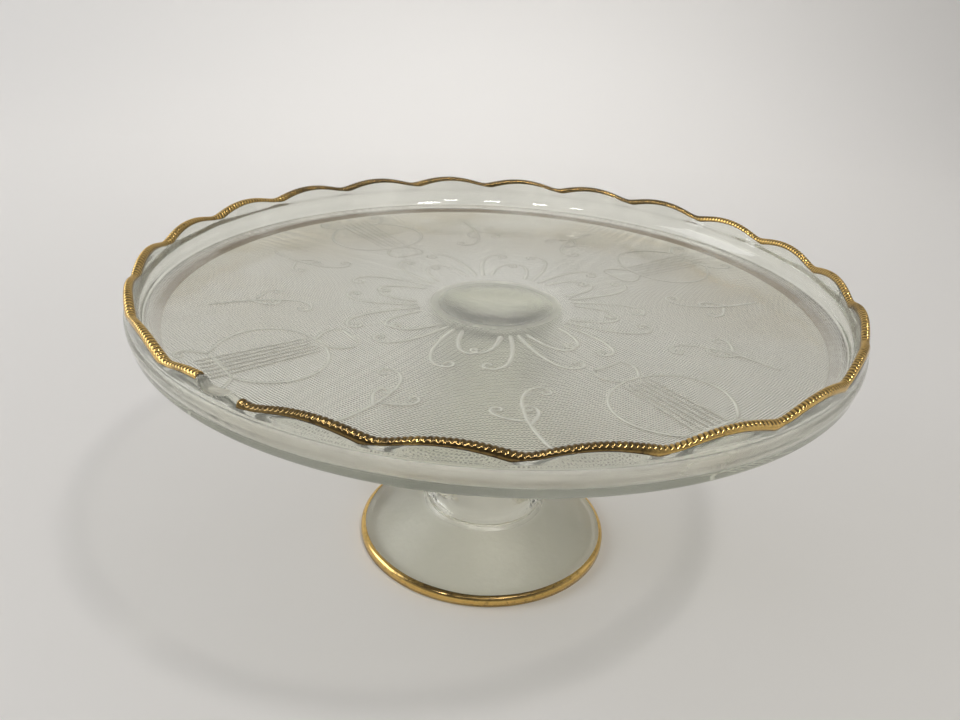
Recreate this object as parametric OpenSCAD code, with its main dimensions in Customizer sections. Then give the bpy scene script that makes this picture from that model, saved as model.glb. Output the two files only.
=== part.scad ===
// Pressed-glass cake stand: a round plate with a scalloped gallery on a hollow pedestal,
// joined hot with a wafer of glass. Fired gold on the rim and on the foot.
// Millimetres. Origin on the surface it stands on, at the centre of the foot, +Z up.

/* [Plate] */
// Outer radius of the plate's skirt
plate_r = 129.3; // [120:0.1:135]
// Height of the scallops' lowest points above the table
cusp_z = 115.3; // [105:0.1:125]
// Thickness of the plate's floor
floor_t = 3.7; // [3:0.1:5]
// Depth of the floor's top below the scallops' lowest points
well_depth = 12.3; // [9:0.1:14]
// Depth of the shallow dip at the middle of the plate
dip_depth = 1.6; // [0.8:0.1:2]

/* [Rim] */
// Number of scallops round the rim
scallops = 22; // [18:1:26]
// Rise of each scallop above its two lowest points
scallop_rise = 2.7; // [1.5:0.1:3.5]
// Direction of one of the lowest points, in degrees from +X
scallop_phase = 11.63; // [0:0.01:20]
// Width of the gilded crest, measured radially
gold_w = 3.2; // [2.4:0.1:4]
// Height of the gilded crest
gold_h = 1.6; // [1.2:0.1:2.4]
// Direction of the chip in the rim, in degrees from +X
chip_angle = 235.6; // [0:0.1:360]

/* [Pedestal] */
// Outer radius of the foot
foot_r = 50.8; // [45:0.1:60]
// Height of the foot's rolled edge
foot_edge_h = 4.2; // [3.5:0.1:5]
// Radius of the stem where it meets the foot
stem_foot_r = 22.5; // [18:0.5:26]
// Smallest radius of the stem
stem_waist_r = 19.5; // [16:0.5:22]
// Radius of the flared top of the stem
stem_top_r = 24.7; // [23:0.1:28]
// Wall thickness of the pedestal
pedestal_wall = 4; // [3:0.1:5]

/* [Relief] */
// Height of the raised lines on the plate's underside
relief_h = 0.7; // [0.4:0.1:1]
// Width of the raised lines
relief_w = 1.3; // [0.8:0.1:2]
// Strings of each lyre
strings = 6; // [5:1:9]

/* [Hidden] */
$fn = 96;

glass = "#c9cfc2";
glass_relief = "#dfe4da";
gold = "#c79a3c";

floor_top = cusp_z - well_depth;
floor_low = floor_top - floor_t;
gap = 360 / scallops;

// Gallery wall: nearly upright, with a wide fillet to the floor inside. Outside, a low step
// runs under the crest and the skirt's lower half leans in.
rim_out_r = plate_r - 0.7;
rim_in_r = rim_out_r - gold_w;
wall_foot_r = rim_in_r - 0.9;
wall_fillet = 8;
wall_foot_z = floor_top + wall_fillet;
wall_top_z = cusp_z - gold_h;
step_z = cusp_z - 4.4;
bevel_z = cusp_z - 8;
bevel_in = 0.9;
skirt_z = cusp_z - 12.9;
skirt_round = 1.6;
floor_edge_r = 119.5;

// One scallop is the top of a cylinder lying along a radius.
lobe_lap = 0.3;
lobe_inset = 0.05;
lobe_half = rim_in_r * sin(gap / 2);
lobe_r = (lobe_half * lobe_half + scallop_rise * scallop_rise) / (2 * scallop_rise);

// Chip: a ball that bites into the crest.
chip_ball_r = 12;
chip_bite = 3;
chip_half = 3.6;

// Gold: a thin skin over the crest and over the foot's rolled edge.
gild_t = 0.25;
gild_bevel = 0.5;
gild_low_z = 0.4;
gilding_step = gap / 10;
foot_roll_r = 2;
glass_foot_r = foot_r - gild_t;

// Stem, wafer and dip at the middle of the plate.
wafer_h = 2.4;
wafer_r = stem_top_r + 0.5;
stem_top_z = floor_low - wafer_h;
foot_shoulder_z = 17.5;
foot_waist_z = 52;
ring_r = 1.9;
bore_r = stem_waist_r - pedestal_wall;
ceiling_z = stem_top_z - 1.3;
ceiling_r = stem_top_r - 3.4;
ceiling_fall = 4.6;
dip_r = 24;

// ---- Curves --------------------------------------------------------------------------

// Points of an arc about c, from angle a0 to a1.
function arc(c, r, a0, a1, n) =
    [for (i = [0 : n]) let (a = a0 + (a1 - a0) * i / n) c + r * [cos(a), sin(a)]];

// Points of a smooth S from p to q, level at both ends: z changes slowly at each end.
function ease(p, q, n) =
    [for (i = [0 : n]) let (t = i / n) [p[0] + (q[0] - p[0]) * (1 - cos(180 * t)) / 2, p[1] + (q[1] - p[1]) * t]];

function direction(a) = [cos(a), sin(a)];

// Points of a scroll: it leaves p at a heading, bends gently, and curls up tighter towards its end.
function scroll(p, heading, length, bend, curl, n = 18) =
    [for (i = 0, q = p, t = 0.5 / n;
          i <= n;
          q = q + length / n * direction(heading + bend * t + curl * pow(t, 4)), i = i + 1, t = (i + 0.5) / n) q];

// Points of a cubic Bezier curve.
function bezier(p, n) =
    [for (i = [0 : n]) let (t = i / n, s = 1 - t)
        s * s * s * p[0] + 3 * s * s * t * p[1] + 3 * s * t * t * p[2] + t * t * t * p[3]];

function unit(v) = v / norm(v);
function along(p, i) = unit(p[min(i + 1, len(p) - 1)] - p[max(i - 1, 0)]);
function side(p, i, w) = let (d = along(p, i)) p[i] + w * [-d[1], d[0]];
function taper(i, n) = 1 - 0.35 * i / n;

// The flat shape of a raised line along p, a little narrower at its far end.
module line(p, w = relief_w) {
    n = len(p) - 1;
    left = [for (i = [0 : n]) side(p, i, w / 2 * taper(i, n))];
    right = [for (i = [n : -1 : 0]) side(p, i, -w / 2 * taper(i, n))];
    polygon(concat(left, right));
}

// Makes flat shapes stand down from the underside of the floor.
module raised() {
    translate([0, 0, floor_low - relief_h])
        linear_extrude(height = relief_h) children();
}

module both_sides() {
    children();
    mirror([0, 1]) children();
}

// ---- Plate ---------------------------------------------------------------------------

// A block of the gallery's crest, one scallop wide and lapping into its neighbours, with a round top.
module lobe(inner, outer, low_z, rise) {
    intersection() {
        rotate([0, 0, -lobe_lap])
            rotate_extrude(angle = gap + 2 * lobe_lap)
                translate([inner, low_z])
                    square([outer - inner, scallop_rise + gold_h + 6]);
        rotate([0, 0, gap / 2])
            translate([0, 0, cusp_z + scallop_rise + rise - lobe_r])
                rotate([0, 90, 0])
                    cylinder(r = lobe_r, h = 2 * outer);
    }
}

module around_rim() {
    for (i = [0 : scallops - 1])
        rotate([0, 0, scallop_phase + i * gap]) children();
}

module chip() {
    rotate([0, 0, chip_angle])
        translate([plate_r, 0, cusp_z + scallop_rise - chip_bite + chip_ball_r])
            sphere(r = chip_ball_r);
}

function plate_outline() = concat(
    [[0, floor_low], [floor_edge_r, floor_low]],
    arc([plate_r - bevel_in - skirt_round, skirt_z + skirt_round], skirt_round, -70, -5, 4),
    [[plate_r, bevel_z], [plate_r, step_z - 0.3], [rim_out_r, step_z + 0.4], [rim_out_r, wall_top_z]],
    [[rim_in_r, wall_top_z]],
    arc([wall_foot_r - wall_fillet, wall_foot_z], wall_fillet, 0, -90, 7),
    [[dip_r, floor_top]],
    [for (i = [1 : 6]) let (t = i / 6) [dip_r * (1 - t), floor_top - dip_depth * (1 - cos(180 * t)) / 2]]
);

module plate() {
    color(glass)
        difference() {
            union() {
                rotate_extrude() polygon(plate_outline());
                around_rim() lobe(rim_in_r + lobe_inset, rim_out_r - lobe_inset, wall_top_z - 0.5, -gold_h);
            }
            chip();
        }
}

// ---- Gold ----------------------------------------------------------------------------

// Height of the crest at radius r, in a direction a.
function crest_z(r, a) =
    let (off = (((a - scallop_phase) % gap) + gap) % gap - gap / 2, x = r * sin(off))
        cusp_z + scallop_rise - lobe_r + sqrt(lobe_r * lobe_r - x * x);

// Section of the gilded crest in a direction a: [radius, drop below the crest], going round it.
gilding_section = [[rim_in_r - gild_t, gold_h], [rim_out_r + gild_t, gold_h], [rim_out_r + gild_t, gild_bevel],
                   [rim_out_r + gild_t - gild_bevel, 0], [rim_in_r - gild_t + gild_bevel, 0],
                   [rim_in_r - gild_t, gild_bevel]];

function gilding_ring(a) =
    [for (p = gilding_section) [p[0] * cos(a), p[0] * sin(a), crest_z(p[0], a) - p[1]]];

// A closed skin over rings of points, with the first and last rings capped.
module skin(rings) {
    m = len(rings[0]);
    last = (len(rings) - 1) * m;
    sides = [for (i = [0 : len(rings) - 2], j = [0 : m - 1])
        let (k = (j + 1) % m) each [[i * m + j, i * m + k, (i + 1) * m + j],
                                    [i * m + k, (i + 1) * m + k, (i + 1) * m + j]]];
    polyhedron(
        points = [for (ring = rings) each ring],
        faces = concat(sides, [[for (j = [m - 1 : -1 : 0]) j]], [[for (j = [0 : m - 1]) last + j]]));
}

// The gilded crest: a band of even height that follows the scallops and stops at the chip.
module rim_gilding() {
    first = ceil((chip_angle + chip_half - scallop_phase) / gilding_step);
    past = floor((chip_angle - chip_half + 360 - scallop_phase) / gilding_step);
    color(gold)
        skin(concat(
            [gilding_ring(chip_angle + chip_half)],
            [for (i = [first : past]) gilding_ring(scallop_phase + i * gilding_step)],
            [gilding_ring(chip_angle - chip_half)]));
}

module foot_gilding() {
    color(gold)
        rotate_extrude()
            polygon(concat(
                [[glass_foot_r, gild_low_z], [foot_r, gild_low_z]],
                arc([foot_r - foot_roll_r, foot_edge_h - foot_roll_r], foot_roll_r, 0, 90, 6),
                arc([foot_r - foot_roll_r, foot_edge_h - foot_roll_r], foot_roll_r - gild_t, 90, 0, 6)
            ));
}

// ---- Pedestal ------------------------------------------------------------------------

module joining_wafer() {
    color(glass)
        rotate_extrude()
            polygon(concat(
                [[0, stem_top_z]],
                arc([wafer_r - wafer_h / 2, stem_top_z + wafer_h / 2], wafer_h / 2, -90, 90, 8),
                [[0, floor_low]]
            ));
}

// Outside of the pedestal from the table up, then the hollow from the top down.
function pedestal_outline() = concat(
    [[glass_foot_r - 4.5, 0], [glass_foot_r - 0.4, 0], [glass_foot_r, gild_low_z]],
    arc([foot_r - foot_roll_r, foot_edge_h - foot_roll_r], foot_roll_r - gild_t, 0, 90, 6),
    bezier([[foot_r - foot_roll_r - 2, foot_edge_h], [41, 7], [32, 12],
            [stem_foot_r + 0.8, foot_shoulder_z - 1.6]], 8),
    arc([stem_foot_r - 0.7, foot_shoulder_z + 0.6], ring_r, -50, 70, 6),
    ease([stem_foot_r - 1, foot_shoulder_z + 3.6], [stem_waist_r, foot_waist_z], 8),
    ease([stem_waist_r + 0.01, foot_waist_z + 1], [stem_top_r - 1, stem_top_z - 2], 10),
    [[stem_top_r, stem_top_z], [0, stem_top_z]],
    [for (i = [0 : 6]) let (t = i / 6) [ceiling_r * t, ceiling_z - ceiling_fall * t * t]],
    ease([ceiling_r + 0.3, ceiling_z - ceiling_fall - 1], [bore_r, foot_waist_z], 8),
    [[stem_foot_r - pedestal_wall, foot_shoulder_z + 1]],
    [[stem_foot_r + 3, foot_shoulder_z - 2.5 - pedestal_wall]],
    [[glass_foot_r - 6, 1.2]]
);

module pedestal() {
    color(glass) rotate_extrude() polygon(pedestal_outline());
}

// ---- Relief on the underside of the plate --------------------------------------------

lyre_at = 37;
lyre_base_r = 107;
lyre_neck_r = 71;
lyre_base_half = 9;
lyre_wide_r = 92;
lyre_wide_half = 24;
string_gap = 2.7;
string_w = 0.8;

module lyre() {
    both_sides() {
        line(bezier([[lyre_base_r, lyre_base_half], [lyre_wide_r, lyre_wide_half],
                     [lyre_neck_r + 1, lyre_wide_half - 5], [lyre_neck_r, 1]], 14));
        line(scroll([lyre_base_r + 1, lyre_base_half - 1], 40, 17, 0, 330));
    }
    line([[lyre_base_r, -lyre_base_half - 1], [lyre_base_r, lyre_base_half + 1]]);
    line([[lyre_neck_r + 1, 0], [lyre_neck_r - 5, 0]]);
    for (i = [0 : strings - 1])
        let (v = (i - (strings - 1) / 2) * string_gap)
            line([[lyre_base_r - 1, v], [lyre_neck_r + 4 + abs(v) / 3, v]], string_w);
}

module lyre_reliefs() {
    color(glass_relief)
        raised()
            for (i = [0 : 3]) rotate(lyre_at + 90 * i) lyre();
}

spray_r = 68;
spray_turn = 14;

// Three curling stalks that spring from one point.
module spray() {
    line(scroll([spray_r, 0], 12, 34, -20, -330));
    line(scroll([spray_r + 4, 1.4], 50, 30, -30, -330));
    line(scroll([spray_r + 6, 0.2], -55, 26, 40, 330));
}

module spray_reliefs() {
    color(glass_relief)
        raised()
            for (i = [0 : 3])
                rotate(lyre_at + 45 + 90 * i)
                    both_sides() rotate(spray_turn) spray();
}

plume_at = 14.5;
plume_r = 33;

// A fan of long curled plumes.
module plume_fan() {
    both_sides() {
        line(scroll([plume_r, 1.4], 4, 40, 14, 330));
        line(scroll([plume_r, 4.6], 14, 27, 22, 330));
    }
    line([[plume_r, 0], [plume_r + 29, 0]], string_w);
}

module plume_reliefs() {
    color(glass_relief)
        raised()
            for (i = [0 : 7]) rotate(plume_at + 45 * i) plume_fan();
}

plate();
joining_wafer();
pedestal();
rim_gilding();
foot_gilding();
lyre_reliefs();
spray_reliefs();
plume_reliefs();
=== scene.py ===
"""Looks of the pressed-glass cake stand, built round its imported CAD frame.

Lengths are in millimetres and become metres when a mesh is made. Lights alone are placed in metres.
"""
import math

import bmesh
import bpy
import numpy as np
from mathutils import Matrix, Vector
from mathutils.geometry import delaunay_2d_cdt


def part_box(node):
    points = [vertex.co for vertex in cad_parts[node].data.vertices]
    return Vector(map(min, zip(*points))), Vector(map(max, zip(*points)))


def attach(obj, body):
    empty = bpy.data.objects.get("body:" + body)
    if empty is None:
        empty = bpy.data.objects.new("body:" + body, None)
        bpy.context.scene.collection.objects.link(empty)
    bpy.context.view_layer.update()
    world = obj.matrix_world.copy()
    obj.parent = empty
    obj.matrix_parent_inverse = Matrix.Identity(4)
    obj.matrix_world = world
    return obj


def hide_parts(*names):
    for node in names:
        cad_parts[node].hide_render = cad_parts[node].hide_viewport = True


MM = 0.001

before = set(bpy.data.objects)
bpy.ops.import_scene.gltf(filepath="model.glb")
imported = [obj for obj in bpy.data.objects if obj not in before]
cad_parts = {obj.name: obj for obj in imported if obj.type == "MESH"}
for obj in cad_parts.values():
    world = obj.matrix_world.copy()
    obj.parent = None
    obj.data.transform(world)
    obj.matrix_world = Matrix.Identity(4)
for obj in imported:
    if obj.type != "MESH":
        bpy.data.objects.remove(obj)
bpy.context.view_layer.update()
scene = bpy.context.scene


# ---- Sizes, from the frame -----------------------------------------------------------

def corner(node, end, axis):
    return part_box(node)[end][axis] / MM


LOW, HIGH = 0, 1
X, Z = 0, 2
PLATE_R = corner("plate", HIGH, X)
FLOOR_LOW = corner("plate", LOW, Z)
CREST_Z = corner("rim_gilding", HIGH, Z)
FOOT_R = corner("foot_gilding", HIGH, X)
WAFER_LOW = corner("joining_wafer", LOW, Z)
WAFER_R = corner("joining_wafer", HIGH, X)


# ---- Driving sizes of the rim, the floor and the chip --------------------------------

SCALLOPS = 22
SCALLOP_RISE = 2.7
SCALLOP_PHASE = math.radians(11.63)
SCALLOP_GAP = 2 * math.pi / SCALLOPS
CUSP_Z = CREST_Z - SCALLOP_RISE
VALLEY_EASE = 0.35

FLOOR_T = 3.7
FLOOR_TOP = FLOOR_LOW + FLOOR_T
RIM_W = 3.2
SKIRT_STEP = 0.7
RIM_OUT_R = PLATE_R - SKIRT_STEP
RIM_IN_R = RIM_OUT_R - RIM_W
RIM_MIDDLE_R = RIM_OUT_R - RIM_W / 2
GILD_T = 0.25

CHIP_ANGLE = math.radians(235.6)
CHIP_HALF = math.radians(3.6)
CHIP_BITE = 4.0
CHIP_DEEPEST = -0.5
CHIP_LONG_SIDE = 1 - CHIP_DEEPEST
CHIP_SHORT_SIDE = 1 + CHIP_DEEPEST
CHIP_HOLLOW_R = 12.0


# ---- Curves --------------------------------------------------------------------------

def arc(cx, cz, radius, start, end, steps):
    angles = np.radians(np.linspace(start, end, steps + 1))
    return [(cx + radius * math.cos(a), cz + radius * math.sin(a)) for a in angles]


def ease(p, q, steps):
    """An S from p to q, upright at both ends."""
    points = []
    for t in np.linspace(0, 1, steps + 1):
        across = (1 - math.cos(math.pi * t)) / 2
        points.append((p[0] + (q[0] - p[0]) * across, p[1] + (q[1] - p[1]) * t))
    return points


def bezier(p0, p1, p2, p3, steps):
    ts = np.linspace(0, 1, steps + 1)[:, None]
    p0, p1, p2, p3 = (np.array(p, float) for p in (p0, p1, p2, p3))
    s = 1 - ts
    return s ** 3 * p0 + 3 * s * s * ts * p1 + 3 * s * ts * ts * p2 + ts ** 3 * p3


def scroll(start, heading, length, bend, curl, tight=6, steps=44):
    """Leaves start at a heading, bends gently and curls up at its end: later for a larger tight."""
    ts = (np.arange(steps) + 0.5) / steps
    headings = np.radians(heading + bend * ts + curl * ts ** tight)
    walk = np.cumsum(np.stack([np.cos(headings), np.sin(headings)], 1) * length / steps, 0)
    return np.vstack([[start], np.array(start) + walk])


# ---- Meshes --------------------------------------------------------------------------

MERGE_GAP = 1e-6


def make_object(name, points, faces):
    mesh = bpy.data.meshes.new(name)
    mesh.from_pydata([tuple(p) for p in np.asarray(points, float) * MM], [], faces)
    mesh.validate()
    mesh.polygons.foreach_set("use_smooth", [True] * len(mesh.polygons))
    obj = bpy.data.objects.new(name, mesh)
    scene.collection.objects.link(obj)
    return obj


def grid_faces(rows, columns, wrap_rows, wrap_columns):
    faces = []
    for i in range(rows if wrap_rows else rows - 1):
        for j in range(columns if wrap_columns else columns - 1):
            i2 = (i + 1) % rows
            j2 = (j + 1) % columns
            faces.append((i * columns + j, i2 * columns + j, i2 * columns + j2, i * columns + j2))
    return faces


def tube_faces(rows, columns):
    """Faces of a tube of closed sections, with a flat face at each end."""
    faces = grid_faces(rows, columns, False, True)
    faces.append(tuple(range(columns)))
    faces.append(tuple((rows - 1) * columns + j for j in reversed(range(columns))))
    return faces


def spin(rings, angles):
    """Stands each ring of (r, z) points at its own angle round the axis."""
    return [(r * math.cos(a), r * math.sin(a), z) for a, ring in zip(angles, rings) for r, z in ring]


def sweep_round(name, section, angles, closed_section=False):
    """Sweeps section(angle) -> [(r, z), ...] round the axis. A point at r = 0 becomes one pole."""
    rings = [section(a) for a in angles]
    faces = grid_faces(len(angles), len(rings[0]), True, closed_section)
    obj = make_object(name, spin(rings, angles), faces)
    merge(obj)
    return obj


def merge(obj):
    """Joins points that coincide and turns every face outwards."""
    bm = bmesh.new()
    bm.from_mesh(obj.data)
    bmesh.ops.remove_doubles(bm, verts=bm.verts, dist=MERGE_GAP)
    bmesh.ops.recalc_face_normals(bm, faces=bm.faces)
    bm.to_mesh(obj.data)
    bm.free()
    obj.data.polygons.foreach_set("use_smooth", [True] * len(obj.data.polygons))


def full_turn(steps):
    return np.linspace(0, 2 * math.pi, steps, endpoint=False)


# ---- Rim -----------------------------------------------------------------------------

def lobe_place(angle):
    """How far round its scallop a direction is, from 0 at one low point to 1 at the next."""
    return ((angle - SCALLOP_PHASE) / SCALLOP_GAP) % 1.0


def crest(angle):
    """Height of the wavy crest. It is a row of low arches with eased valleys between them."""
    off = 2 * lobe_place(angle) - 1
    lift = 1 - off * off
    eased = math.hypot(lift, VALLEY_EASE) - VALLEY_EASE
    highest = math.hypot(1, VALLEY_EASE) - VALLEY_EASE
    return CUSP_Z + SCALLOP_RISE * eased / highest


def chip_floor(r, angle):
    """Height of the chip's hollow face, or None beside it. One end is steep and the other runs out."""
    place = (angle - CHIP_ANGLE) / CHIP_HALF
    if abs(place) >= 1:
        return None
    reach = CHIP_SHORT_SIDE if place < CHIP_DEEPEST else CHIP_LONG_SIDE
    bite = CHIP_BITE * (1 - ((place - CHIP_DEEPEST) / reach) ** 2)
    return CREST_Z - bite + (PLATE_R - r) ** 2 / (2 * CHIP_HOLLOW_R)


def chipped(r, z, angle):
    hollow = chip_floor(r, angle)
    return z if hollow is None else min(z, hollow)


WALL_FOOT_R = 124.5
WALL_FILLET = 8.0
SKIRT_Z = CUSP_Z - 12.9
SKIRT_ROUND = 1.6
FLOOR_EDGE_R = 119.5
FLOOR_LOOPS = (40, 60, 80, 100, 112)
DIP_R = 24.0
DIP_DEPTH = 1.6
GLASS_UNDER_GOLD = 0.75
CREST_DROP = 1.6
RING_MATT = 0.4
STEP_Z = CUSP_Z - 4.4
BEVEL_Z = CUSP_Z - 8.0
STEPS_PER_LOBE = 30
FINE_REACH = 1.6


def arch(half_w, top, drop, count):
    """A round top over the middle of the rim, from inside to outside, as [(r, z), ...]."""
    points = []
    for t in np.linspace(0, 1, count):
        a = math.pi * (1 - t)
        rise = max(math.sin(a), 0) ** 0.8
        points.append((RIM_MIDDLE_R + half_w * math.cos(a), top - drop + drop * rise))
    return points


def plate_section(angle):
    """The plate from the middle of its top, over the crest and the skirt, to the edge of its underside."""
    top = crest(angle) - GLASS_UNDER_GOLD
    wall_low = FLOOR_TOP + WALL_FILLET
    wall_rise = top - CREST_DROP - wall_low
    dip = [(DIP_R * t, FLOOR_TOP - DIP_DEPTH * (1 + math.cos(math.pi * t)) / 2)
           for t in np.linspace(0, 1, 9)]
    floor = [(r, FLOOR_TOP) for r in FLOOR_LOOPS]
    fillet = arc(WALL_FOOT_R - WALL_FILLET, wall_low, WALL_FILLET, -90, 0, 16)
    inner = [(WALL_FOOT_R + (RIM_IN_R - WALL_FOOT_R) * t, wall_low + wall_rise * t)
             for t in np.linspace(0.12, 0.95, 8)]
    over = arch(RIM_W / 2, top, CREST_DROP, 13)
    outer = [(RIM_OUT_R, z) for z in np.linspace(top - CREST_DROP - 0.4, STEP_Z + 1.5, 5)]
    outer += ease((RIM_OUT_R, STEP_Z + 1.4), (PLATE_R, STEP_Z - 1.8), 10)
    outer += [(PLATE_R, STEP_Z - 2.4), (PLATE_R, BEVEL_Z + 0.3)]
    outer += [(PLATE_R - 0.12, BEVEL_Z), (PLATE_R - 0.6, BEVEL_Z - 1.6)]
    skirt = arc(PLATE_R - SKIRT_ROUND - 0.9, SKIRT_Z + SKIRT_ROUND, SKIRT_ROUND, -5, -70, 6)
    under = [(FLOOR_EDGE_R + 1.0, FLOOR_LOW + 0.25), (FLOOR_EDGE_R, FLOOR_LOW)]
    walls = [(r, chipped(r, z, angle)) for r, z in inner + over + outer]
    return dip + floor + fillet + walls + skirt + under


def plate_angles():
    """Even steps round the plate, with finer ones across the chip."""
    even = full_turn(SCALLOPS * STEPS_PER_LOBE) + SCALLOP_PHASE
    fine = CHIP_ANGLE + np.linspace(-FINE_REACH, FINE_REACH, 81) * CHIP_HALF
    apart = np.abs((even - CHIP_ANGLE + math.pi) % (2 * math.pi) - math.pi)
    away = even[apart > (FINE_REACH + 0.02) * CHIP_HALF] % (2 * math.pi)
    return np.sort(np.concatenate([away, fine]))


def outline(path, width):
    """The footprint of a relief line: one closed loop of points."""
    left, right = ridge_sides(path, width)
    return np.vstack([left, right[::-1]])


def build_underside(angles, lines):
    """The flat underside, cut along every relief line. Returns points, faces and 1 for each ground face."""
    loops = [np.stack([np.cos(angles), np.sin(angles)], 1) * FLOOR_EDGE_R]
    loops += [outline(path, width) for path, width in lines]
    edges = []
    count = 0
    for loop in loops:
        edges += [(count + k, count + (k + 1) % len(loop)) for k in range(len(loop))]
        count += len(loop)
    flat = [Vector(p) for p in np.vstack(loops)]
    verts, _, faces, *_ = delaunay_2d_cdt(flat, edges, [], 0, 1e-4)
    places = np.array([tuple(v) for v in verts])
    middles = np.array([places[list(face)].mean(0) for face in faces])
    ground = np.ones(len(faces))
    for path, width in lines:
        ground[under_line(middles, path, width)] = 0
    return [(x, y, FLOOR_LOW) for x, y in places], faces, ground


def under_line(middles, path, width):
    """True for each face middle that lies under a relief line."""
    half = width / 2 * ridge_fade(len(path))
    gaps = np.linalg.norm(middles[:, None, :] - path[None, :, :], axis=2) / half[None, :]
    longest_step = np.linalg.norm(np.diff(path, axis=0), axis=1).max()
    return gaps.min(1) < 1 + longest_step / width * 0.35


def matt_share(x, y, z):
    """How matt the moulded glass is away from the floor: the chip's broken face is fully matt, and the
    sloping ring under the skirt partly."""
    r = math.hypot(x, y)
    hollow = chip_floor(r, math.atan2(y, x) % (2 * math.pi))
    if hollow is not None and abs(hollow - z) < 0.05:
        return 1.0
    return RING_MATT if r > FLOOR_EDGE_R and z < SKIRT_Z + 0.3 else 0.0


def build_plate(lines):
    angles = plate_angles()
    rings = [plate_section(a) for a in angles]
    points = spin(rings, angles)
    faces = grid_faces(len(angles), len(rings[0]), True, False)
    under_points, under_faces, ground = build_underside(angles, lines)
    marks = [matt_share(*points[face[0]]) for face in faces] + list(ground)
    faces += [tuple(len(points) + k for k in face) for face in under_faces]
    obj = make_object("plate_glass", points + under_points, faces)
    obj.data.attributes.new("ground", "FLOAT", "FACE").data.foreach_set("value", marks)
    merge(obj)
    return obj


# ---- Gold ----------------------------------------------------------------------------

BEADS_PER_LOBE = 23
STEPS_PER_BEAD = 8
BEAD_SLANT = 0.45
BEAD_SWELL = 0.5
BEADED_SHARE = 0.82
GOLD_COLUMNS = 17
GOLD_HALF_W = 1.38
GOLD_HALF_W_GROWTH = 0.37
GOLD_DROP = 0.95
GOLD_DROP_GROWTH = 1.2


def gold_section(angle):
    """Section of the gilded crest: beads along the inside, a smooth strip along the outside. The band
    widens from each valley to the next.

    Returns points (r, z) and, for each, how far it is out of a gap between beads.
    """
    place = lobe_place(angle)
    full = place ** 1.5 * min(1.0, (1 - place) * 9)
    top = crest(angle) - BEAD_SWELL
    half_w = GOLD_HALF_W + GOLD_HALF_W_GROWTH * full
    band = arch(half_w, top, GOLD_DROP + GOLD_DROP_GROWTH * full, GOLD_COLUMNS)
    points, marks = [], []
    for (r, z), t in zip(band, np.linspace(0, 1, GOLD_COLUMNS)):
        beaded = min(max((BEADED_SHARE - t) * 10, 0.0), 1.0)
        bead = abs(math.sin(math.pi * (place * BEADS_PER_LOBE + BEAD_SLANT * t))) ** 0.8
        lift = beaded * bead + (1 - beaded) * 0.5
        points.append((r, z + BEAD_SWELL * lift * math.sqrt(max(math.sin(math.pi * t), 0))))
        marks.append(max(bead, 1 - beaded))
    for side in (1, 0, -1):
        points.append((RIM_MIDDLE_R + side * (half_w - 0.9), top - 1.0 + 0.3 * (1 - abs(side))))
        marks.append(0.0)
    return points, marks


def build_rim_gold():
    """The gold runs from one side of the chip round to the other, and is closed at both ends."""
    per_turn = SCALLOPS * BEADS_PER_LOBE * STEPS_PER_BEAD
    start = CHIP_ANGLE + CHIP_HALF
    end = CHIP_ANGLE - CHIP_HALF + 2 * math.pi
    count = int(per_turn * (end - start) / (2 * math.pi))
    points, marks = [], []
    for angle in np.linspace(start, end, count):
        section, section_marks = gold_section(angle)
        points += [(r * math.cos(angle), r * math.sin(angle), z) for r, z in section]
        marks += section_marks
    obj = make_object("rim_gold", points, tube_faces(count, len(section)))
    obj.data.attributes.new("bead", "FLOAT", "POINT").data.foreach_set("value", marks)
    merge(obj)
    return obj


FOOT_EDGE_H = 4.2
FOOT_ROLL = 2.0
FOOT_CHAMFER = 0.4


def build_foot_gold():
    """A thin band round the foot's rolled edge. Its inner edge wavers: cover is in degrees of the roll."""
    def section(angle):
        waver = 0.12 * math.sin(5 * angle) + 0.08 * math.sin(13 * angle + 1)
        cover = 84 + 8 * math.cos(angle - math.radians(225)) + 20 * waver
        centre_r = FOOT_R - FOOT_ROLL
        centre_z = FOOT_EDGE_H - FOOT_ROLL
        outer = arc(centre_r, centre_z, FOOT_ROLL, 0, cover, 12)
        inner = arc(centre_r, centre_z, FOOT_ROLL - GILD_T, cover, 0, 12)
        return [(FOOT_R, FOOT_CHAMFER)] + outer + inner + [(FOOT_R - GILD_T, FOOT_CHAMFER)]
    return sweep_round("foot_gold", section, full_turn(240), closed_section=True)


# ---- Pedestal ------------------------------------------------------------------------

STEM_FOOT_R = 22.5
STEM_WAIST_R = 19.5
STEM_TOP_R = 24.7
WALL = 4.0
SHOULDER_Z = 17.5
FOOT_CURVE = ((41, 7), (32, 12))
WAIST_Z = 52.0
CEILING_Z = 95.6
CEILING_R = 21.3
CEILING_FALL = 4.6
RING_R = 1.9
FOOT_REST_W = 4.5
WELD = 0.1  # how far one piece reaches into the next


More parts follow.
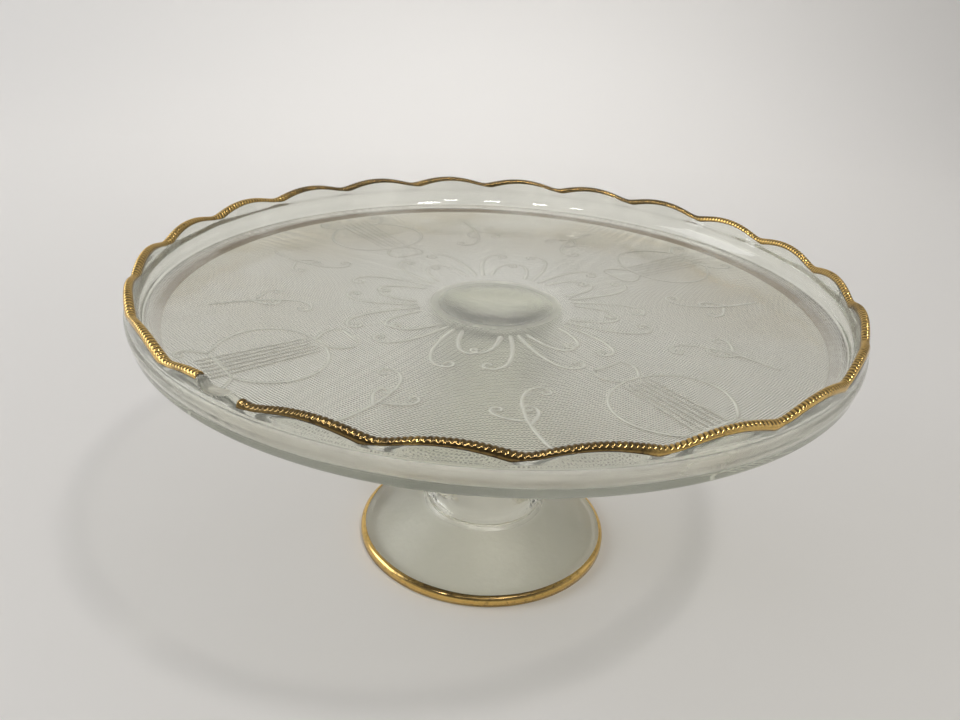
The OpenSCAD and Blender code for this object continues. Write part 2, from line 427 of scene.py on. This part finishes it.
def pedestal_section(_angle):
    """The pedestal from under its edge, up the outside and across the top, then down inside its hollow."""
    glass_r = FOOT_R - GILD_T
    top_z = WAFER_LOW + WELD
    bore_r = STEM_WAIST_R - WALL
    ceiling_edge = CEILING_Z - CEILING_FALL
    outside = [(glass_r - FOOT_REST_W, 0), (glass_r - FOOT_CHAMFER, 0), (glass_r, FOOT_CHAMFER)]
    outside += arc(FOOT_R - FOOT_ROLL, FOOT_EDGE_H - FOOT_ROLL, FOOT_ROLL - GILD_T, 0, 90, 6)
    outside += [tuple(p) for p in bezier((FOOT_R - FOOT_ROLL - 2, FOOT_EDGE_H), *FOOT_CURVE,
                                         (STEM_FOOT_R + 0.8, SHOULDER_Z - 1.6), 16)]
    outside += arc(STEM_FOOT_R - 0.7, SHOULDER_Z + 0.6, RING_R, -50, 70, 8)
    outside += ease((STEM_FOOT_R - 1, SHOULDER_Z + 3.6), (STEM_WAIST_R, WAIST_Z), 12)
    outside += ease((STEM_WAIST_R + 0.01, WAIST_Z + 1), (STEM_TOP_R - 1, top_z - 2), 16)
    outside += [(STEM_TOP_R, top_z), (0, top_z)]
    hollow = [(CEILING_R * t, CEILING_Z - CEILING_FALL * t * t) for t in np.linspace(0, 1, 14)]
    hollow += ease((CEILING_R + 0.3, ceiling_edge - 1), (bore_r, WAIST_Z + 2), 16)
    hollow += [(bore_r, WAIST_Z), (STEM_FOOT_R - WALL, SHOULDER_Z + 1)]
    hollow += [(STEM_FOOT_R + 3, SHOULDER_Z - 2.5 - WALL), (glass_r - 6, 1.2)]
    return outside + hollow


def build_pedestal():
    return sweep_round("pedestal_glass", pedestal_section, full_turn(192), closed_section=True)


def build_wafer():
    half = (FLOOR_LOW - WAFER_LOW) / 2

    def section(_angle):
        edge = arc(WAFER_R - half, WAFER_LOW + half, half, -90, 90, 8)
        return [(0, WAFER_LOW)] + edge[:-1] + [(WAFER_R - half, FLOOR_LOW + WELD), (0, FLOOR_LOW + WELD)]
    return sweep_round("wafer_glass", section, full_turn(128))


# ---- Relief lines --------------------------------------------------------------------

RELIEF_H = 0.9
RELIEF_W = 1.5
PLUME_W = 1.9
STRINGS = 6
STRING_GAP = 2.7
STRING_W = 0.9
RIDGE_COLUMNS = 7
LYRE_AT = 37.0
SPRAYS_AT = LYRE_AT + 45
SPRAY_ASIDE = 14
PLUME_AT = 14.5


def ridge_fade(count):
    """How full a line is at each of its points: it thins along its length and closes at both ends."""
    t = np.linspace(0, 1, count)
    return (1 - 0.3 * t) * np.minimum(1.0, 0.35 + np.minimum(t, 1 - t) * 16)


def ridge_sides(path, width):
    tangent = np.gradient(path, axis=0)
    tangent /= np.linalg.norm(tangent, axis=1)[:, None]
    normal = np.stack([-tangent[:, 1], tangent[:, 0]], 1)
    half = normal * (width / 2 * ridge_fade(len(path)))[:, None]
    return path + half, path - half


def ridge(path, width=RELIEF_W, height=RELIEF_H):
    """A half-round line under the floor along a flat path. Returns points and faces."""
    count = len(path)
    left, right = ridge_sides(path, width)
    fade = ridge_fade(count)
    points = []
    for i in range(count):
        for j in range(RIDGE_COLUMNS):
            a = math.pi * j / (RIDGE_COLUMNS - 1)
            x, y = (left[i] + right[i]) / 2 + (left[i] - right[i]) / 2 * math.cos(a)
            points.append((x, y, FLOOR_LOW + WELD - (height * fade[i] + WELD) * math.sin(a)))
    return points, tube_faces(count, RIDGE_COLUMNS)


def turn(path, degrees, flip=False):
    path = np.asarray(path, float)
    if flip:
        path = path * (1, -1)
    c, s = math.cos(math.radians(degrees)), math.sin(math.radians(degrees))
    return path @ np.array([[c, s], [-s, c]])


def lyre_lines():
    """A lyre along +X, its foot bar towards the rim. Returns (path, width) pairs, as each motif does."""
    base_r, neck_r, base_half, crown_r, crown_half = 106, 73, 10, 61, 6
    lines = []
    for flip in (False, True):
        arm = bezier((base_r, base_half), (93, 29), (neck_r - 3, 20), (neck_r - 1, -3), 28)
        crown = bezier((neck_r - 1, 3), (68, 8), (64, 9), (crown_r, crown_half), 12)
        foot = scroll((base_r, base_half), 45, 19, 10, -400, 3)
        lines += [(turn(path, 0, flip), RELIEF_W) for path in (arm, crown, foot)]
    lines.append((np.linspace((base_r, -base_half), (base_r, base_half), 30), RELIEF_W))
    lines.append((np.linspace((crown_r, -crown_half), (crown_r, crown_half), 20), RELIEF_W))
    for i in range(STRINGS):
        v = (i - (STRINGS - 1) / 2) * STRING_GAP
        lines.append((np.linspace((base_r + 6, v), (neck_r + 1, v * 0.8), 70), STRING_W))
    return lines


def spray_lines():
    stem = scroll((104, 6), 206, 52, -50, -430, 7)
    return [(stem, RELIEF_W),
            (scroll((91, 0.5), 148, 21, -20, 430, 3), RELIEF_W),
            (scroll((88, -0.5), 250, 20, 20, -430, 3), RELIEF_W)]


def plume_lines():
    root = 29
    return [(scroll((root, 0.8), 4, 44, 30, 420, 6), PLUME_W),
            (scroll((root, 4), 18, 28, 30, 420, 5), PLUME_W),
            (scroll((root, -2.2), -6, 40, -30, -420, 6), PLUME_W),
            (scroll((root, -5.4), -22, 26, -30, -420, 5), PLUME_W)]


def build_relief(name, placed_lines):
    points, faces = [], []
    for path, width in placed_lines:
        more_points, more_faces = ridge(path, width)
        base = len(points)
        points += more_points
        faces += [tuple(base + k for k in face) for face in more_faces]
    obj = make_object(name, points, faces)
    merge(obj)
    return obj


# ---- Materials -----------------------------------------------------------------------

class Nodes:
    """Builds the node tree of a material or of the world."""

    def __init__(self, owner):
        owner.use_nodes = True
        self.owner = owner
        self.tree = owner.node_tree
        self.tree.nodes.clear()

    def add(self, kind, values=None, **settings):
        """Adds a node. values holds its inputs by name or number: each is a number or another's output."""
        node = self.tree.nodes.new(kind)
        for key, value in settings.items():
            setattr(node, key, value)
        for key, value in (values or {}).items():
            if isinstance(value, bpy.types.NodeSocket):
                self.tree.links.new(value, node.inputs[key])
            else:
                node.inputs[key].default_value = value
        return node

    def math(self, operation, a, b=0.0):
        return self.add("ShaderNodeMath", {0: a, 1: b}, operation=operation).outputs[0]

    def total(self, first, *others):
        for other in others:
            first = self.math("ADD", first, other)
        return first

    def product(self, first, *others):
        for other in others:
            first = self.math("MULTIPLY", first, other)
        return first

    def distance(self, x, y):
        return self.math("SQRT", self.total(self.product(x, x), self.product(y, y)))

    def ramp(self, value, low, high, out_low=0.0, out_high=1.0, shape="LINEAR"):
        values = dict(enumerate((value, low, high, out_low, out_high)))
        return self.add("ShaderNodeMapRange", values, interpolation_type=shape).outputs[0]

    def blend(self, factor, first, second):
        return self.add("ShaderNodeMix", {0: factor, 6: first, 7: second}, data_type="RGBA").outputs[2]

    def noise(self, coords, scale, detail=2.0):
        values = {"Vector": coords, "Scale": scale, "Detail": detail}
        return self.add("ShaderNodeTexNoise", values).outputs[0]

    def bump(self, height, strength):
        values = {"Distance": BUMP_DEPTH * MM, "Strength": strength, "Height": height}
        return self.add("ShaderNodeBump", values).outputs[0]

    def mark(self, name):
        """A value stored on the mesh."""
        return self.add("ShaderNodeAttribute", attribute_name=name).outputs["Fac"]

    def split(self, vector):
        return self.add("ShaderNodeSeparateXYZ", {0: vector}).outputs


BUMP_DEPTH = 0.2
GLASS_TINT = (0.72, 0.75, 0.62, 1)
GLASS_TINT_DENSITY = 30
CLEAN_GLASS = (0.985, 0.99, 0.945, 1)
# Brown glass: the floor browner towards the wall and the back, and painted shade on the ring under the
# front of the skirt.
BROWN_GLASS = (0.61, 0.51, 0.33, 1)
# The foot's glass, darkened as painted shade and mottled between these two.
FOOT_GLASS_DARK = (0.70, 0.70, 0.63, 1)
FOOT_GLASS_PALE = (0.86, 0.86, 0.79, 1)
# White veil: hazing on the gallery, and painted light on the floor's centre, the wafer, the flare and the
# relief lines.
WHITE_HAZE_AND_PAINTED_LIGHT = (0.93, 0.93, 0.90, 1)
FOOT_HAZE = (0.6, 0.59, 0.53, 1)
# Dark veil: the line along the floor's edge, and painted shade down the sides of the relief lines.
DARK_VEIL_AND_SHADE = (0.24, 0.18, 0.11, 1)
BRIGHT_GOLD = (0.76, 0.51, 0.17, 1)
# Dark gold: wear, and painted shade and dark reflections.
DARKENED_GOLD = (0.11, 0.075, 0.035, 1)
CLEAR_SHADOW = 0.96
PLATE_SHADOW = 0.87
RING_PITCH = 0.95
CROSS_PITCH = 1.3
# Centre and reach of a white veil on the floor's top: partly scuffing, partly a painted reflection that
# pales the far half of the centre.
SCUFF_SHEEN_Y = 18.0
SCUFF_SHEEN_R = 50.0


def new_material(name):
    """A node tree to fill, and the point being shaded in metres: as one vector, and as x, y and z."""
    n = Nodes(bpy.data.materials.new(name))
    coords = n.add("ShaderNodeTexCoord").outputs["Object"]
    return n, coords, *n.split(coords)


def linen(n, x, y):
    """Height of the fine moulded ground: rings crossed by two families of straight lines."""
    rings = n.math("SINE", n.product(n.distance(x, y), 2 * math.pi / (RING_PITCH * MM)))
    across = n.math("SINE", n.product(x, 2 * math.pi / (CROSS_PITCH * MM)))
    along = n.math("SINE", n.product(y, 2 * math.pi / (CROSS_PITCH * MM)))
    return n.total(n.product(rings, 0.7), n.product(across, along, 1.3))


def glass_surface(n, color, rough, bump, veil_share, veil_color):
    """Bumpy glass under a thin diffuse veil, white or dark. It stands for hazing, and in places for painted
    light and shade. A veil share of 0.25 or more shows an outline once denoised.
    """
    glass = n.add("ShaderNodeBsdfPrincipled", {"Transmission Weight": 1.0, "IOR": 1.5, "Base Color": color,
                                               "Roughness": rough, "Normal": bump})
    veil = n.add("ShaderNodeBsdfDiffuse", {0: veil_color})
    return n.add("ShaderNodeMixShader", {0: veil_share, 1: glass.outputs[0], 2: veil.outputs[0]}).outputs[0]


def finish_glass(n, surface, shadow=CLEAR_SHADOW):
    """Lets light through for shadows and soft light, and tints the glass by its thickness."""
    clear = n.add("ShaderNodeBsdfTransparent", {0: (shadow, shadow * 0.995, shadow * 0.98, 1)})
    ray = n.add("ShaderNodeLightPath").outputs
    passes = n.math("MAXIMUM", ray["Is Shadow Ray"], ray["Is Diffuse Ray"])
    mixed = n.add("ShaderNodeMixShader", {0: passes, 1: surface, 2: clear.outputs[0]})
    tint = n.add("ShaderNodeVolumeAbsorption", {"Color": GLASS_TINT, "Density": GLASS_TINT_DENSITY})
    n.add("ShaderNodeOutputMaterial", {"Surface": mixed.outputs[0], "Volume": tint.outputs[0]})
    return n.owner


def plate_material():
    """The ground faces carry the linen texture, turn browner towards the wall and the back, and have a dark
    line at their edge, strongest at the back. The sloping ring under the front of the skirt is browned as
    painted shade. The gallery ripples a little and is faintly hazed. A white veil on the floor's top, most
    behind its middle, is partly scuffing and partly a painted reflection."""
    n, coords, x, y, z = new_material("plate_glass")
    radius = n.distance(x, y)
    ground = n.mark("ground")
    ripple = n.noise(coords, 55)
    patches = n.noise(coords, 26, 3.0)
    on_top = n.product(n.math("GREATER_THAN", z, (FLOOR_TOP - DIP_DEPTH - 0.1) * MM),
                       n.math("LESS_THAN", radius, FLOOR_EDGE_R * MM))
    under = n.math("GREATER_THAN", ground, 0.1)

    height = n.total(n.product(linen(n, x, y), ground),
                     n.product(ripple, n.math("SUBTRACT", 1.0, ground), 2.0))
    worn = n.product(on_top, n.ramp(radius, 18 * MM, 34 * MM, 0.14, 0.10))
    matt = n.product(ground, n.ramp(radius, 19 * MM, 25 * MM, 0.1, 0.34))
    rough = n.total(n.ramp(ripple, 0.3, 0.7, 0.02, 0.05), worn, matt)

    toward_back = n.ramp(y, -70 * MM, 30 * MM, 0.2, 1.0)
    near_wall = n.ramp(radius, 30 * MM, FLOOR_EDGE_R * MM)
    floor_browning = n.product(ground, near_wall, toward_back, n.ramp(patches, 0.35, 0.6, 0.3, 1.0))
    # Painted shade: the sloping ring under the front of the skirt is browned.
    ring_shade = n.product(under, n.ramp(radius, 119.7 * MM, 121.5 * MM),
                           n.ramp(y, -105 * MM, -85 * MM, 0.45, 0.0))
    color = n.blend(n.math("MAXIMUM", floor_browning, ring_shade), CLEAN_GLASS, BROWN_GLASS)

    at_edge = n.product(n.ramp(radius, 118.8 * MM, 119.4 * MM),
                        n.ramp(radius, 122.5 * MM, 125.5 * MM, 1.0, 0.0))
    edge_line = n.product(under, toward_back, at_edge, n.ramp(patches, 0.38, 0.6, 0.6, 0.97))
    gallery_haze = n.product(n.ramp(radius, 108 * MM, 122 * MM), n.ramp(patches, 0.35, 0.7, 0.0, 0.14))
    # Partly scuffing, partly a painted reflection: a white veil on the floor's top behind its middle.
    from_scuff_sheen = n.distance(x, n.math("SUBTRACT", y, SCUFF_SHEEN_Y * MM))
    scuff_and_sheen = n.product(on_top, n.ramp(from_scuff_sheen, 4 * MM, SCUFF_SHEEN_R * MM, 0.21, 0.0, "SMOOTHSTEP"))
    veil_share = n.math("MAXIMUM", n.total(gallery_haze, scuff_and_sheen, 0.02), edge_line)
    veil_color = n.blend(n.ramp(edge_line, 0.0, 0.15), WHITE_HAZE_AND_PAINTED_LIGHT, DARK_VEIL_AND_SHADE)
    return finish_glass(n, glass_surface(n, color, rough, n.bump(height, 0.22), veil_share, veil_color),
                        PLATE_SHADOW)


def pedestal_material():
    """The foot's glass is darkened as painted shade and finely mottled, a white veil round the top of the
    flare is painted light, and the hollow's ceiling is chilled by the plunger.
    """
    n, coords, x, y, z = new_material("pedestal_glass")
    foot = n.ramp(z, (SHOULDER_Z - 3) * MM, (SHOULDER_Z - 1) * MM, 1.0, 0.0)
    ceiling = n.math("GREATER_THAN", z, (CEILING_Z - CEILING_FALL - 3) * MM)
    rough = n.total(0.02, n.math("MAXIMUM", n.product(foot, 0.42), n.product(ceiling, 0.13)))
    mottle = n.ramp(n.noise(coords, 150, 8.0), 0.3, 0.7)
    # Painted shade: the foot's glass is darkened, and mottled at random.
    color = n.blend(foot, CLEAN_GLASS, n.blend(mottle, FOOT_GLASS_DARK, FOOT_GLASS_PALE))
    # Painted light: a white veil round the top of the flare.
    at_flare = n.product(n.ramp(z, 90 * MM, 94 * MM),
                         n.ramp(n.distance(x, y), 21.5 * MM, 22.5 * MM, 0.0, 0.23))
    veil_share = n.total(n.product(foot, mottle, 0.3), at_flare)
    veil_color = n.blend(foot, WHITE_HAZE_AND_PAINTED_LIGHT, FOOT_HAZE)
    grain = n.bump(n.noise(coords, 420, 3.0), 0.8)
    return finish_glass(n, glass_surface(n, color, rough, grain, veil_share, veil_color))


def wafer_material():
    """Clear in the middle and rougher, with crazing, towards its edge, where it was pressed out hot. The
    white veil towards its edge is painted light.
    """
    n, coords, x, y, _ = new_material("wafer_glass")
    radius = n.distance(x, y)
    rough = n.ramp(radius, 15 * MM, WAFER_R * MM, 0.05, 0.4)
    # Painted light: a white veil towards the edge.
    pale_edge_light = n.ramp(radius, 17 * MM, 23 * MM, 0.0, 0.23)
    grain = n.bump(n.noise(coords, 200), 0.15)
    return finish_glass(n, glass_surface(n, CLEAN_GLASS, rough, grain, pale_edge_light, WHITE_HAZE_AND_PAINTED_LIGHT))


def relief_material():
    """Raised lines under a veil of painted light and shade: pale along the top as a painted highlight, dark
    down their steep sides and darker towards the back as painted shade.
    """
    n, coords, _, y, _ = new_material("relief_glass")
    facing = n.split(n.add("ShaderNodeNewGeometry").outputs["Normal"])[2]
    # Painted shade down the steep sides and towards the back, and a painted highlight along the top.
    steep = n.ramp(n.math("ABSOLUTE", facing), 0.35, 0.75, 1.0, 0.0)
    shaded = n.math("MAXIMUM", steep, n.ramp(y, 10 * MM, 80 * MM, 0.0, 0.35))
    grain = n.bump(n.noise(coords, 300), 0.3)
    return finish_glass(n, glass_surface(n, CLEAN_GLASS, 0.06, grain, 0.6,
                                         n.blend(shaded, WHITE_HAZE_AND_PAINTED_LIGHT, DARK_VEIL_AND_SHADE)))


def gold_material(name, ease_of_darkening, grain, extra_darkening):
    """Fired gold. It darkens in patches, most at the front, as wear, and towards the back, as a painted
    dark reflection. The function given last darkens it more where it says.
    """
    n, coords, x, y, z = new_material(name)
    patches = n.noise(coords, 45, 5.0)
    speck = n.noise(coords, 700, 3.0)
    held = n.product(n.ramp(x, -75 * MM, -50 * MM), n.ramp(x, 20 * MM, 60 * MM, 1.0, 0.0),
                     n.ramp(y, -110 * MM, -80 * MM, 0.28, 0.0))
    # Wear in patches and at the front; the rise towards the back is a painted dark reflection.
    wear_and_back_reflection = n.total(patches, held, n.ramp(y, 60 * MM, 115 * MM, 0.0, 0.25))
    rubbed_and_back_reflection = n.ramp(wear_and_back_reflection, 0.64 - ease_of_darkening, 0.74 - ease_of_darkening, 0.0, 0.85)
    # The darkening is wear, with painted shade and grime between the beads and painted dark reflections.
    worn = n.total(n.math("MAXIMUM", rubbed_and_back_reflection, extra_darkening(n, y, z)), n.ramp(speck, 0.55, 0.75, 0.0, 0.5))
    gold = n.add("ShaderNodeBsdfPrincipled", {"Metallic": 1.0, "Normal": n.bump(speck, grain),
                                              "Base Color": n.blend(worn, BRIGHT_GOLD, DARKENED_GOLD),
                                              "Roughness": n.ramp(patches, 0.3, 0.7, 0.08, 0.28)})
    n.add("ShaderNodeOutputMaterial", {"Surface": gold.outputs[0]})
    return n.owner


def between_beads(n, _y, _z):
    """The rim's gold is dark in the gaps between its beads: partly painted shade, partly grime."""
    return n.ramp(n.mark("bead"), 0.35, 0.9, 0.95, 0.0)


def top_of_roll(n, y, z):
    """The foot's gold is darkened on top of its roll, towards the front: a painted dark reflection."""
    low = FOOT_EDGE_H - 1.1
    front = n.ramp(y, -46 * MM, -30 * MM, 1.0, 0.0)
    return n.product(n.ramp(z, low * MM, (low + 0.5) * MM, 0.0, 0.9), front)


def stage_material():
    n = Nodes(bpy.data.materials.new("stage"))
    paint = n.add("ShaderNodeBsdfPrincipled", {"Base Color": (0.80, 0.785, 0.765, 1), "Roughness": 0.6})
    n.add("ShaderNodeOutputMaterial", {"Surface": paint.outputs[0]})
    return n.owner


# ---- Assembly ------------------------------------------------------------------------

def add_piece(obj, material, slot, *nodes):
    obj.data.materials.append(material)
    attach(obj, "root")
    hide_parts(*nodes)


def around(lines, places):
    return [(turn(path, degrees, flip), width) for degrees, flip in places for path, width in lines]


LYRE_PLACES = [(LYRE_AT + 90 * i, False) for i in range(4)]
SPRAY_PLACES = [(SPRAYS_AT + 90 * i + s * SPRAY_ASIDE, s < 0) for i in range(4) for s in (1, -1)]
PLUME_PLACES = [(PLUME_AT + 45 * i, False) for i in range(8)]

LYRES = around(lyre_lines(), LYRE_PLACES)
SPRAYS = around(spray_lines(), SPRAY_PLACES)
PLUMES = around(plume_lines(), PLUME_PLACES)

relief_glass = relief_material()
rim_gold = gold_material("rim_gold", ease_of_darkening=0.04, grain=0.5, extra_darkening=between_beads)
foot_gold = gold_material("foot_gold", ease_of_darkening=0.0, grain=0.1, extra_darkening=top_of_roll)

add_piece(build_plate(LYRES + SPRAYS + PLUMES), plate_material(), "clear_glass", "plate")
add_piece(build_wafer(), wafer_material(), "clear_glass", "joining_wafer")
add_piece(build_pedestal(), pedestal_material(), "clear_glass", "pedestal")
add_piece(build_rim_gold(), rim_gold, "fired_gold", "rim_gilding")
add_piece(build_foot_gold(), foot_gold, "fired_gold", "foot_gilding")
add_piece(build_relief("lyre_relief_glass", LYRES), relief_glass, "clear_glass", "lyre_reliefs")
add_piece(build_relief("spray_relief_glass", SPRAYS), relief_glass, "clear_glass", "spray_reliefs")
add_piece(build_relief("plume_relief_glass", PLUMES), relief_glass, "clear_glass", "plume_reliefs")


# ---- Stage, light and camera ---------------------------------------------------------

STAGE_HALF = 2500
BEND_Y = 700
BEND_R = 300


def build_stage():
    """A pale floor that curves up into a wall behind the object."""
    profile = [(-STAGE_HALF, 0), (0, 0), (BEND_Y, 0)]
    profile += arc(BEND_Y, BEND_R, BEND_R, -78.54, 0, 7)
    profile += [(BEND_Y + BEND_R, STAGE_HALF)]
    points = [(x, y, z) for x in (-STAGE_HALF, STAGE_HALF) for y, z in profile]
    obj = make_object("stage", points, grid_faces(2, len(profile), False, False))
    obj.data.materials.append(stage_material())


def build_world():
    """A soft room, brightest low down behind the object."""
    n = Nodes(bpy.data.worlds.new("soft_room"))
    _, y, z = n.split(n.add("ShaderNodeTexCoord").outputs["Generated"])
    strength = n.ramp(n.total(y, n.product(z, -0.6)), -1.2, 0.45, 0.10, 0.88)
    room = n.add("ShaderNodeBackground", {"Color": (1.0, 0.99, 0.975, 1), "Strength": strength})
    n.add("ShaderNodeOutputWorld", {"Surface": room.outputs[0]})
    scene.world = n.owner


def add_area_light(name, place, target, size, watts, color, spread=180):
    data = bpy.data.lights.new(name, "AREA")
    data.size = size
    data.spread = math.radians(spread)
    data.energy = watts
    data.color = color
    obj = bpy.data.objects.new(name, data)
    obj.location = place
    obj.rotation_euler = (Vector(target) - Vector(place)).to_track_quat("-Z", "Y").to_euler()
    scene.collection.objects.link(obj)
    return obj


def build_room_lights():
    """A warm key from the front right, a wash on the wall behind, and a cool window at the left."""
    add_area_light("key", (0.42, -0.42, 1.3), target=(0, 0, 0.05), size=0.14, watts=5.0,
                   color=(1.0, 0.975, 0.93))
    add_area_light("wall_wash", (0, 0.75, 1.3), target=(0, 1.0, 0.0), size=0.8, watts=1.5,
                   color=(1.0, 0.99, 0.98), spread=70)
    add_area_light("window", (-1.5, 0.1, 0.9), target=(0, 0, 0.05), size=1.0, watts=11,
                   color=(0.97, 0.98, 1.0))


LAMP_BACK = 0.75
LAMP_UP = 1.0
LAMP_SIZE = 0.1
LAMP_WATTS = 2.2
LAMP_COLOR = (1.0, 0.97, 0.92)
LAMP_BEARINGS = (-36, -19, 4, 24)


def build_lamps():
    """A row of small lamps above and behind the camera. They show only as glints."""
    for i, bearing in enumerate(LAMP_BEARINGS):
        place = (LAMP_BACK * math.tan(math.radians(bearing)), -LAMP_BACK, LAMP_UP)
        lamp = add_area_light(f"lamp_{i}", place, target=(0, 0, 0.1), size=LAMP_SIZE, watts=LAMP_WATTS,
                              color=LAMP_COLOR)
        lamp.visible_diffuse = False
        lamp.visible_transmission = False


# The photo's camera, fitted to the rim and the foot. Angles are in radians.
CAMERA_PLACE = (-4.69, -302.13, 223.19)
CAMERA_PITCH = 0.448287
CAMERA_ROLL = 0.0573651
CAMERA_LENS = 32.493
SENSOR_WIDTH = 36.0


def build_camera():
    data = bpy.data.cameras.new("camera")
    data.sensor_width = SENSOR_WIDTH
    data.lens = CAMERA_LENS
    data.clip_start = 0.01
    obj = bpy.data.objects.new("camera", data)
    forward = Vector((0, math.cos(CAMERA_PITCH), -math.sin(CAMERA_PITCH)))
    level = Vector((1, 0, 0))
    upright = level.cross(forward)
    right = math.cos(CAMERA_ROLL) * level + math.sin(CAMERA_ROLL) * upright
    up = -math.sin(CAMERA_ROLL) * level + math.cos(CAMERA_ROLL) * upright
    place = Matrix((right, up, -forward)).transposed().to_4x4()
    place.translation = Vector(CAMERA_PLACE) * MM
    obj.matrix_world = place
    scene.collection.objects.link(obj)
    scene.camera = obj


build_stage()
build_world()
build_room_lights()
build_lamps()
build_camera()
scene.view_settings.view_transform = "Standard"
